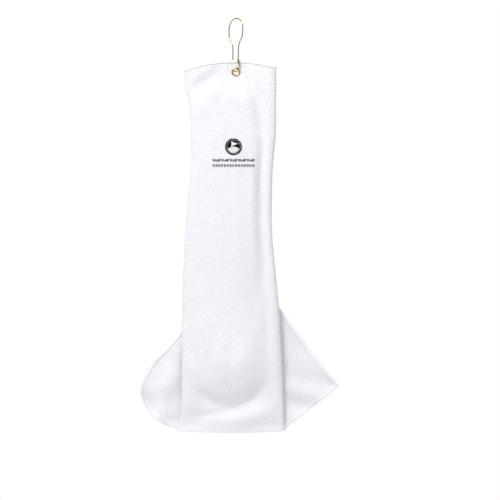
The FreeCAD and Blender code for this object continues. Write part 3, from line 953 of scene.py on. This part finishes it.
    def band(self, name: str, across: tuple[float, float], down: tuple[float, float], cell: float,
             thickness: float, material: bpy.types.Material) -> bpy.types.Object:
        """Make a rectangle of the cloth, or of a hem, as a closed mesh.

        Args:
            name: name of the piece.
            across: first and last place across the flat towel.
            down: first and last place down the flat towel.
            cell: size of the mesh's cells.
            thickness: thickness of the piece.
            material: its finish.

        Returns:
            The piece, with a UV map in metres on the flat towel.
        """
        deselect()
        columns = max(2, int(round((across[1] - across[0]) / cell)))
        rows = max(2, int(round((down[1] - down[0]) / cell)))
        bpy.ops.mesh.primitive_grid_add(x_subdivisions=columns, y_subdivisions=rows, size=1.0)
        obj = bpy.context.object
        obj.name = name
        obj.data.name = name
        count = len(obj.data.vertices)
        flat = np.zeros(count * 3)
        obj.data.vertices.foreach_get("co", flat)
        flat = flat.reshape(-1, 3)
        a = across[0] + (flat[:, 0] + 0.5) * (across[1] - across[0])
        b = down[0] + (0.5 - flat[:, 1]) * (down[1] - down[0])
        places = self.at(a, b)
        obj.data.vertices.foreach_set("co", places.reshape(-1))
        corner = np.zeros(len(obj.data.loops), dtype=np.int32)
        obj.data.loops.foreach_get("vertex_index", corner)
        obj.data.uv_layers[0].name = "cloth"
        obj.data.uv_layers[0].data.foreach_set("uv", np.stack([a, b], axis=-1)[corner].reshape(-1))
        self.pierce(obj)
        solid = obj.modifiers.new("thickness", "SOLIDIFY")
        solid.thickness = thickness
        solid.offset = 0.0
        apply_modifiers(obj)
        bpy.ops.object.shade_smooth()
        obj.data.materials.append(material)
        return obj

    def pierce(self, obj: bpy.types.Object) -> None:
        """Delete the faces inside the grommet.

        Args:
            obj: the cloth, or a hem, before it has a thickness.
        """
        mesh = bmesh.new()
        mesh.from_mesh(obj.data)
        x, z = self.shape.grommet
        inside = [face for face in mesh.faces
                  if math.hypot(face.calc_center_median().x - x,
                                face.calc_center_median().z - z) < self.HOLE]
        bmesh.ops.delete(mesh, geom=inside, context="FACES")
        mesh.to_mesh(obj.data)
        mesh.free()

    def build(self, material: bpy.types.Material) -> bpy.types.Object:
        """Make the whole cloth."""
        return self.band("towel_cloth", (0.0, self.width), (0.0, self.length), self.FINE_CELL,
                         self.THICKNESS, material)


class Needle:
    """Makes stitches: one is modelled, and the rest are copies of it."""

    def __init__(self) -> None:
        """Model one stitch along X, 1 m long, from a sphere."""
        deselect()
        bpy.ops.mesh.primitive_uv_sphere_add(segments=8, ring_count=5, radius=0.5,
                                             rotation=(0.0, math.radians(90), 0.0))
        self.master = bpy.context.object
        self.master.name = "stitch_master"
        bpy.ops.object.transform_apply(location=True, rotation=True, scale=True)
        bpy.ops.object.shade_smooth()

    def sew(self, name: str, places: list[Matrix], material: bpy.types.Material
            ) -> bpy.types.Object:
        """Copy the stitch to each place and join the copies.

        Args:
            name: name of the joined piece.
            places: one matrix for each stitch; X is along the thread.
            material: the thread.

        Returns:
            The joined piece, at the origin.
        """
        copies = []
        for place in places:
            obj = self.master.copy()
            obj.data = self.master.data.copy()
            obj.data.transform(place)
            bpy.context.scene.collection.objects.link(obj)
            copies.append(obj)
        make_active(copies[0])
        for obj in copies:
            obj.select_set(True)
        bpy.ops.object.join()
        piece = bpy.context.object
        piece.matrix_world = Matrix.Identity(4)
        piece.name = name
        piece.data.name = name
        piece.data.materials.clear()
        piece.data.materials.append(material)
        return piece

    def put_away(self) -> None:
        """Remove the modelled stitch once everything is sewn."""
        bpy.data.objects.remove(self.master, do_unlink=True)


@dataclass(frozen=True)
class Seam:
    """A straight row of stitches on the flat towel."""

    start: tuple[float, float]
    end: tuple[float, float]
    pitch: float = 3.2 * MM
    stitch: float = 2.5 * MM
    thread: float = 0.62 * MM

    def stitches(self, cloth: Cloth, hem_thickness: float) -> list[Matrix]:
        """Place each stitch on both faces of the cloth.

        Args:
            cloth: the cloth that is sewn.
            hem_thickness: thickness of the hem that the stitches lie on.

        Returns:
            One matrix for each stitch.
        """
        run = math.dist(self.start, self.end)
        count = int(run / self.pitch)
        share = (np.arange(count) + 0.5) / count
        a = self.start[0] + (self.end[0] - self.start[0]) * share
        b = self.start[1] + (self.end[1] - self.start[1]) * share
        da = (self.end[0] - self.start[0]) / run * self.stitch
        db = (self.end[1] - self.start[1]) / run * self.stitch
        middle = cloth.at(a, b)
        out = cloth.normal(a, b)
        ahead = cloth.at(a + da / 2, b + db / 2) - cloth.at(a - da / 2, b - db / 2)
        places = []
        for face in Face:
            for number in range(count):
                along = Vector(ahead[number])
                up = Vector(out[number]) * face.value
                foot = Vector(middle[number]) + up * (hem_thickness / 2 + self.thread * 0.15)
                places.append(aligned(foot, along, up, along.length, self.thread, self.thread))
        return places


def aligned(place: Vector, along: Vector, up: Vector, length: float, width: float,
            height: float) -> Matrix:
    """Put a stitch at a place.

    Args:
        place: its middle.
        along: direction of the thread.
        up: direction that its rounded side faces.
        length: its length.
        width: its width.
        height: how far it stands up.

    Returns:
        The matrix that moves the modelled stitch there.
    """
    x = along.normalized()
    y = up.cross(x).normalized()
    z = x.cross(y)
    turn = Matrix((x, y, z)).transposed().to_4x4()
    return Matrix.Translation(place) @ turn @ Matrix.Diagonal((length, width, height, 1.0))


@dataclass
class Hems:
    """The towel's turned hems and the rows of stitches that hold them."""

    top: float = 4.5 * MM
    bottom: float = 8.5 * MM
    side: float = 6.0 * MM
    overhang: float = 0.5 * MM
    thickness: float = 2.7 * MM
    inset: float = 1.3 * MM
    end_cell: float = 1.6 * MM     # mesh cell of the top and bottom hems
    side_cell: float = 2.0 * MM

    def build(self, cloth: Cloth, needle: Needle, palette: Palette) -> dict[str, bpy.types.Object]:
        """Make the four hems and their stitches.

        Args:
            cloth: the cloth that they follow.
            needle: makes the stitches.
            palette: the finishes.

        Returns:
            The pieces by name.
        """
        w, l, o = cloth.width, cloth.length, self.overhang
        spans = {
            "hem_top": ((-o, w + o), (-o, self.top)),
            "hem_bottom": ((-o, w + o), (l - self.bottom, l + o)),
            "hem_left": ((-o, self.side), (self.top, l - self.bottom)),
            "hem_right": ((w - self.side, w + o), (self.top, l - self.bottom)),
        }
        pieces = {}
        for name, (across, down) in spans.items():
            cell = self.end_cell if name in ("hem_top", "hem_bottom") else self.side_cell
            pieces[name] = cloth.band(name, across, down, cell, self.thickness, palette.hem)
        top, foot = self.top - self.inset, l - self.bottom + self.inset
        side = self.side - self.inset
        seams = {
            "stitches_top": Seam((0.0, top), (w, top)),
            "stitches_bottom": Seam((0.0, foot), (w, foot)),
            "stitches_left": Seam((side, self.top), (side, l - self.bottom)),
            "stitches_right": Seam((w - side, self.top), (w - side, l - self.bottom)),
        }
        for name, seam in seams.items():
            pieces[name] = needle.sew(name, seam.stitches(cloth, self.thickness),
                                      palette.hem_thread)
        return pieces


@dataclass
class Emblem:
    """Embroidery on the front: a round badge with a flag on a green, and two plain bands."""

    centre: tuple[float, float] = (-4.1 * MM, -218.3 * MM)
    radius: float = 13.8 * MM
    thread: float = 0.75 * MM
    band_places: tuple[float, float] = (-241.0 * MM, -250.0 * MM)
    band_width: float = 71.0 * MM
    band_height: float = 4.4 * MM
    band_pitch: float = 1.2 * MM
    band_lean: float = 0.9 * MM
    zigzag: int = 6                # places to each stroke of the upper band, the last one left out
    group: int = 4                 # places to each group of the lower band, the last one left out
    row_overlap: float = 0.8       # spacing of the rows over the thread's thickness
    longest: float = 7.0 * MM      # stitch in a filled shape
    rim_stitches: int = 110
    tree: BVHTree | None = field(default=None, init=False)

    def surface(self, towel: bpy.types.Object) -> None:
        """Remember the cloth's surface, which the embroidery follows.

        Args:
            towel: the finished cloth.
        """
        mesh = bmesh.new()
        mesh.from_mesh(towel.data)
        self.tree = BVHTree.FromBMesh(mesh)
        mesh.free()

    def on_cloth(self, x: float, z: float) -> tuple[Vector, Vector]:
        """The front surface at a place, and the direction out of it."""
        place, out, _, _ = self.tree.ray_cast(Vector((x, -0.5, z)), Vector((0.0, 1.0, 0.0)))
        return place, out

    def stitch(self, start: tuple[float, float], end: tuple[float, float], raised: float,
               width: float | None = None) -> Matrix:
        """A stitch from one place on the front to another.

        Args:
            start: its first end.
            end: its other end.
            raised: how far its middle lies above the cloth.
            width: width of the thread, if it isn't the usual one.

        Returns:
            The matrix that places it.
        """
        width = width or self.thread
        first, out = self.on_cloth(*start)
        last, _ = self.on_cloth(*end)
        middle = (first + last) / 2 + out * raised
        along = last - first
        return aligned(middle, along, out, along.length + width * 1.2, width, width)

    def rows(self, inside: Shape2D, raised: float, reach: float) -> list[Matrix]:
        """Fill a shape with level rows of thread.

        Args:
            inside: whether a place, measured from the badge's centre, belongs to the shape.
            raised: how far the thread lies above the cloth.
            reach: how far the shape reaches from the centre.

        Returns:
            One matrix for each stitch.
        """
        places = []
        count = int(2 * reach / (self.thread * self.row_overlap))
        step = 0.25 * MM
        for number in range(count + 1):
            v = -reach + 2 * reach * number / count
            u = np.arange(-reach, reach + step, step)
            held = np.array([inside(float(value), v) for value in u])
            edges = np.flatnonzero(np.diff(np.concatenate([[0], held.astype(int), [0]])))
            for start, end in zip(edges[::2], edges[1::2]):
                places += self.split_row(float(u[start]), float(u[end - 1]), v, raised,
                                         (number * 0.37) % 1.0)
        return places

    def split_row(self, start: float, end: float, v: float, raised: float,
                  lag: float) -> list[Matrix]:
        """Lay one row as stitches of a limited length.

        Args:
            start: place across where the row starts.
            end: place across where it ends.
            v: height of the row.
            raised: how far the thread lies above the cloth.
            lag: share of a stitch by which the joins are staggered.

        Returns:
            One matrix for each stitch.
        """
        if end - start < 0.3 * MM:
            return []
        x, z = self.centre
        joins = np.arange(-4, 5) * self.longest + lag * self.longest
        inner = [float(join) for join in joins if start + 1.5 * MM < join < end - 1.5 * MM]
        marks = [start, *inner, end]
        return [self.stitch((x + first, z + v), (x + last, z + v), raised)
                for first, last in zip(marks, marks[1:])]

    def badge(self) -> list[Matrix]:
        """The dark ground of the badge."""
        reach = self.radius - 2.5 * MM
        return self.rows(lambda u, v: math.hypot(u, v) < reach, 0.15 * MM, reach)

    def rim(self) -> list[Matrix]:
        """The raised rim: short stitches across the badge's edge.

        Returns:
            One matrix for each stitch.
        """
        x, z = self.centre
        places = []
        for number in range(self.rim_stitches):
            turn = 2 * math.pi * number / self.rim_stitches
            c, s = math.cos(turn), math.sin(turn)
            inner, outer = self.radius - 1.5 * MM, self.radius
            places.append(self.stitch((x + inner * c, z + inner * s), (x + outer * c, z + outer * s),
                                      0.45 * MM, 0.95 * MM))
        return places

    def motif(self) -> list[Matrix]:
        """A pennant on a pole that stands on a rounded green.

        Returns:
            One matrix for each stitch.
        """

        def inside(u: float, v: float) -> bool:
            """Whether a place belongs to the flag, its pole or the green.

            Args:
                u: distance to the right of the badge's centre.
                v: distance above it.

            Returns:
                True where there is thread.
            """
            u, v = u / MM, v / MM
            green = math.hypot(u, v) < 10.4 and v < -2.2 + 2.4 * math.cos(u / 5.0)
            pole = abs(u + 3.0) < 0.7 and -2.5 < v < 9.0
            flag = -3.0 < u < 7.4 and abs(v - 5.0) < 3.9 * (1.0 - (u + 3.0) / 10.6)
            return green or pole or flag

        return self.rows(inside, 0.55 * MM, 11.0 * MM)

    def bands(self) -> list[Matrix]:
        """Two bands of satin stitches, the upper one slanted to and fro, the lower one upright.

        Returns:
            One matrix for each stitch.
        """
        x0 = self.centre[0] - self.band_width / 2
        half = self.band_height / 2
        places = []
        upper, lower = self.band_places
        for number in range(int(self.band_width / self.band_pitch)):
            x = x0 + (number + 0.5) * self.band_pitch
            if number % self.zigzag != self.zigzag - 1:
                lean = (1.0 if (number // self.zigzag) % 2 else -1.0) * self.band_lean
                places.append(self.stitch((x - lean, upper - half), (x + lean, upper + half),
                                          0.3 * MM, 0.72 * MM))
            if number % self.group != self.group - 1:
                places.append(self.stitch((x, lower - half), (x, lower + half), 0.3 * MM,
                                          0.75 * MM))
        return places

    def build(self, needle: Needle, palette: Palette) -> dict[str, bpy.types.Object]:
        """Sew the badge and the bands.

        Args:
            needle: makes the stitches.
            palette: the finishes.

        Returns:
            The pieces by name.
        """
        return {
            "badge_ground": needle.sew("badge_ground", self.badge(), palette.dark_thread),
            "badge_rim": needle.sew("badge_rim", self.rim(), palette.dark_thread),
            "badge_motif": needle.sew("badge_motif", self.motif(), palette.motif_thread),
            "badge_bands": needle.sew("badge_bands", self.bands(), palette.dark_thread),
        }


# ------------------------------------------------------------------ studio


@dataclass(frozen=True)
class Studio:
    """Camera, light and floor."""

    distance: float = 3.0
    view_width: float = 0.85
    centre: tuple[float, float] = (0.0238, -0.3929)
    sensor: float = 36.0
    soft_colour: tuple[float, float, float] = (0.975, 0.955, 0.985)   # of the light on the cloth
    soft_strength: float = 0.58
    dim_colour: tuple[float, float, float] = (1.0, 0.97, 0.9)         # as the brass reflects it
    dim_strength: float = 0.22
    floor_radius: float = 1.5
    floor_height: float = -1.05

    def camera(self) -> None:
        """A long lens straight in front of the towel."""
        data = bpy.data.cameras.new("camera")
        data.sensor_width = self.sensor
        data.lens = self.sensor * self.distance / self.view_width
        obj = bpy.data.objects.new("camera", data)
        bpy.context.scene.collection.objects.link(obj)
        obj.location = (self.centre[0], -self.distance, self.centre[1])
        obj.rotation_euler = (math.radians(90), 0, 0)
        bpy.context.scene.camera = obj

    def lamp(self, name: str, place: tuple[float, float, float], size: float, power: float) -> None:
        """A square soft box that faces the middle of the towel.

        Args:
            name: its name.
            place: where it stands.
            size: length of its side.
            power: its power, in watts.
        """
        data = bpy.data.lights.new(name, "AREA")
        data.size = size
        data.energy = power
        obj = bpy.data.objects.new(name, data)
        bpy.context.scene.collection.objects.link(obj)
        obj.location = place
        aim = Vector((0.0, 0.0, self.centre[1])) - Vector(place)
        obj.rotation_euler = aim.to_track_quat("-Z", "Y").to_euler()

    def light(self) -> None:
        """A high key light, a fill and a pale surround."""
        bpy.context.scene.view_settings.view_transform = "Standard"
        self.lamp("key", (-0.8, -1.35, 1.6), 0.7, 48.0)
        self.lamp("fill", (1.6, -1.6, 0.0), 1.6, 6.0)
        self.lamp("back", (0.4, 1.8, 0.9), 1.2, 16.0)
        self.surround()

    def surround(self) -> None:
        """A surround that is white to look at, and dimmer as the cloth and the brass see it."""
        world = bpy.data.worlds.new("surround")
        bpy.context.scene.world = world
        world.use_nodes = True
        tree = world.node_tree
        soft = tree.nodes["Background"]
        seen, dim = (tree.nodes.new("ShaderNodeBackground") for _ in range(2))
        shades = ((soft, self.soft_colour, self.soft_strength), (seen, (1.0, 1.0, 1.0), 1.0),
                  (dim, self.dim_colour, self.dim_strength))
        for node, colour, strength in shades:
            node.inputs["Color"].default_value = (*colour, 1.0)
            node.inputs["Strength"].default_value = strength
        metal, mix = (tree.nodes.new("ShaderNodeMixShader") for _ in range(2))
        rays = tree.nodes.new("ShaderNodeLightPath")
        tree.links.new(rays.outputs["Is Camera Ray"], mix.inputs[0])
        tree.links.new(rays.outputs["Is Glossy Ray"], metal.inputs[0])
        tree.links.new(soft.outputs[0], metal.inputs[1])
        tree.links.new(dim.outputs[0], metal.inputs[2])
        tree.links.new(metal.outputs[0], mix.inputs[1])
        tree.links.new(seen.outputs[0], mix.inputs[2])
        tree.links.new(mix.outputs[0], tree.nodes["World Output"].inputs["Surface"])

    def floor(self) -> None:
        """A plain pale floor well under the towel."""
        deselect()
        bpy.ops.mesh.primitive_circle_add(vertices=96, radius=self.floor_radius,
                                          fill_type="NGON", location=(0, 0, self.floor_height))
        obj = bpy.context.object
        obj.name = "floor"
        graph = Graph("floor")
        tone = graph.noise(graph.coordinates("Object"), 3.0, 2.0)
        graph.link(graph.ramp(tone, (0.86, 0.86, 0.87), (0.9, 0.9, 0.91)),
                   graph.shader.inputs["Base Color"])
        graph.shader.inputs["Roughness"].default_value = 0.9
        obj.data.materials.append(graph.material)


def main() -> None:
    """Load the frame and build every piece."""
    logging.basicConfig(level=logging.INFO)
    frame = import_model()
    palette = Palette()
    studio = Studio()
    studio.camera()
    studio.light()
    studio.floor()
    metals = {"hook_wire": palette.wire, "latch_leg": palette.wire,
              "grommet_eyelet": palette.grommet, "grommet_washer": palette.grommet}
    for node, material in metals.items():
        frame["nodes"][node].data.materials.clear()
        frame["nodes"][node].data.materials.append(material)
    cloth = Cloth(ClothShape())
    cloth.relax(4)
    cloth.settle()
    towel = cloth.build(palette.terry)
    needle = Needle()
    hems = Hems().build(cloth, needle, palette)
    emblem = Emblem()
    emblem.surface(towel)
    badge = emblem.build(needle, palette)
    needle.put_away()
    for piece in (towel, *hems.values(), *badge.values()):
        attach(piece, "towel")
        LOG.info("%s: %d faces", piece.name, len(piece.data.polygons))
    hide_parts("front_panel", "left_fold", "right_fold")
    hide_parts("top_hem_stitching")
    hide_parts("bottom_hem_stitching")
    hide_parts("emblem_patch")
    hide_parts("emblem_bars")


if __name__ == "__main__":
    main()
